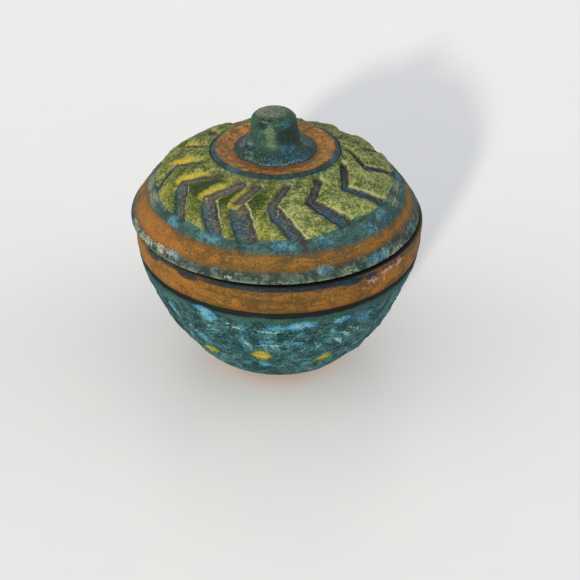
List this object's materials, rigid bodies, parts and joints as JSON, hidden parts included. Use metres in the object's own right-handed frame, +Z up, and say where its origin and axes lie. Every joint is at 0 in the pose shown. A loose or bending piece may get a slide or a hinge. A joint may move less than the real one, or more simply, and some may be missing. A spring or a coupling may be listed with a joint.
{
  "type": "lidded pottery bowl",
  "caption": "Small round painted clay bowl on a foot ring, with a domed lid that lifts off by its knob; carved chevrons and painted bands.",
  "frame": {"origin": "on the table plane, on the bowl's axis, at the centre of the foot ring", "axes": "+Z up along the bowl's axis; the picture looks along +Y with +X to the right"},
  "size_m": [0.1144, 0.1132, 0.1066],
  "materials": {
    "teal_paint": "dry-brushed satin paint on clay",
    "green_paint": "mottled satin paint on clay",
    "ochre_paint": "brushed satin paint on clay",
    "dark_green_paint": "worn satin paint on clay",
    "bare_clay": "matt unpainted clay"
  },
  "bodies": {
    "bowl": {"bowl_body": "teal_paint", "foot_ring": "bare_clay"},
    "lid": {"lid_dome": "green_paint", "lid_flange": "bare_clay", "knob_plate": "ochre_paint", "lid_knob": "dark_green_paint"}
  },
  "joints": [
    {"name": "lid_lift", "type": "slide", "parent": "bowl", "child": "lid", "axis": [0, 0, 1], "range_m": [0, 0.06]}
  ]
}
